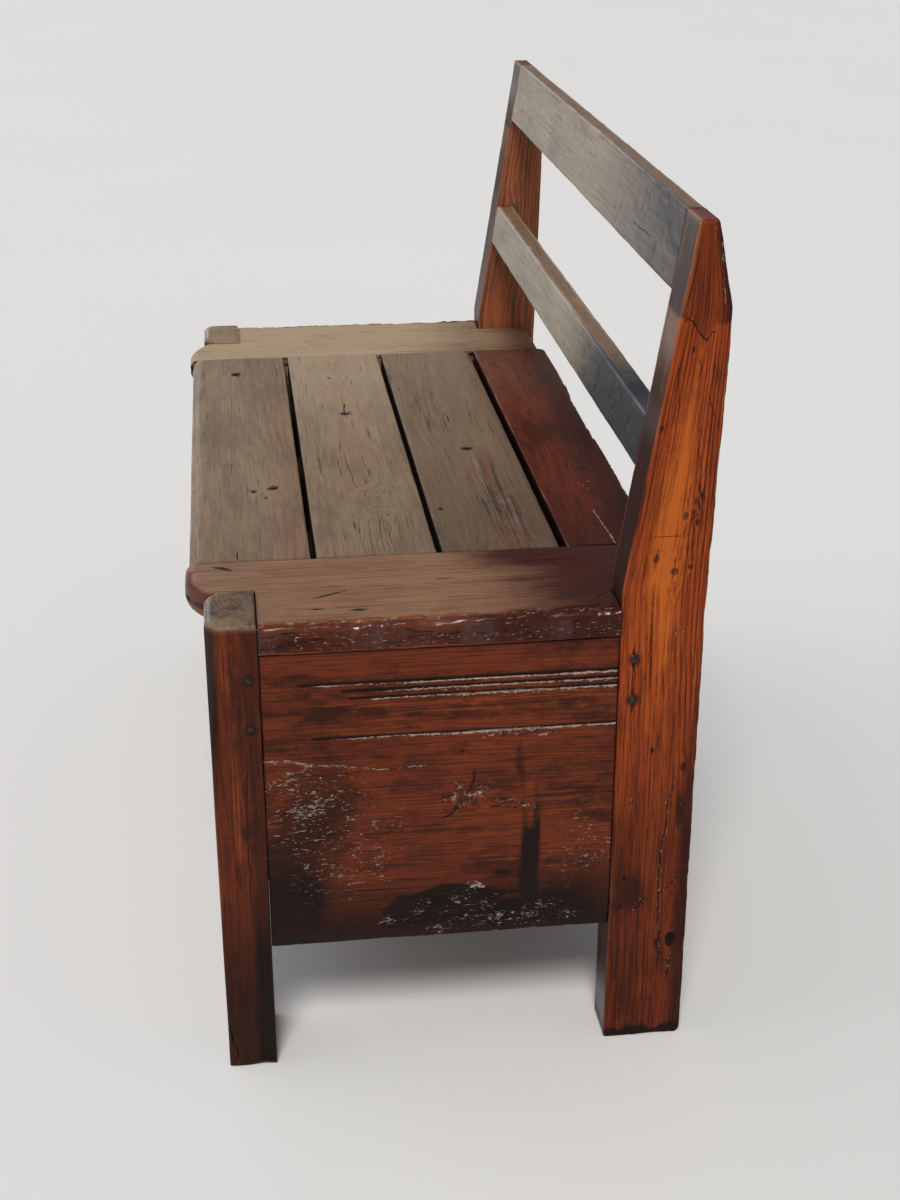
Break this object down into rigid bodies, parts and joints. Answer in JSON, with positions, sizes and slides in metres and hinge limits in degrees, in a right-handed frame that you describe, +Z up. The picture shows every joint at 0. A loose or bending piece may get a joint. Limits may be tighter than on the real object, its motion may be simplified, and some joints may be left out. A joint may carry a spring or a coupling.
{
  "type": "settle bench",
  "caption": "Small pine settle bench with a low two-rail raked back, boxed-in base and a lid of loose-gapped seat planks that lifts to a storage chest.",
  "frame": {"origin": "on the floor, under the middle of the bench's length and depth", "axes": "+Z up; the front of the seat faces -Y and the back rails are on the +Y side; the length runs along X"},
  "size_m": [0.93, 0.451, 0.78],
  "materials": {
    "frame_pine": "dark red-brown stained pine, worn glossy wax",
    "post_pine": "orange-brown stained pine, glossy wax",
    "end_board_pine": "worn tan pine, red-brown at its edges",
    "seat_pine": "greyish tan worn pine, satin",
    "rear_board_pine": "very dark red-brown pine, glossy",
    "rail_pine": "worn greyish-brown pine, satin wax",
    "inner_pine": "bare aged pine, matt",
    "peg_wood": "very dark wooden pegs",
    "iron": "blackened iron"
  },
  "bodies": {
    "frame": {"front_leg_left": "frame_pine", "rear_post_left": "post_pine", "end_panel_left": "frame_pine", "floor_ledge_left": "inner_pine", "seat_bearer_left": "inner_pine", "seat_end_board_left": "end_board_pine", "front_leg_right": "frame_pine", "rear_post_right": "post_pine", "end_panel_right": "frame_pine", "floor_ledge_right": "inner_pine", "seat_bearer_right": "inner_pine", "seat_end_board_right": "end_board_pine", "front_board": "frame_pine", "back_board": "frame_pine", "floor_board_front": "inner_pine", "floor_board_middle": "inner_pine", "floor_board_rear": "inner_pine", "seat_rear_board": "rear_board_pine", "top_rail": "rail_pine", "mid_rail": "rail_pine", "leg_pegs": "peg_wood", "post_pegs": "peg_wood", "rail_pegs": "peg_wood", "chest_nails": "iron", "bearer_screws": "iron"},
    "lid": {"lid_plank_front": "seat_pine", "lid_plank_middle": "seat_pine", "lid_plank_rear": "seat_pine", "lid_batten_nails": "iron", "lid_pivot_pins": "iron", "lid_batten_left": "inner_pine", "lid_batten_middle": "inner_pine", "lid_batten_right": "inner_pine"}
  },
  "joints": [
    {"name": "lid_hinge", "type": "hinge", "parent": "frame", "child": "lid", "pos_m": [0, 0.11, 0.441], "axis": [-1, 0, 0], "range_deg": [0, 102]}
  ]
}
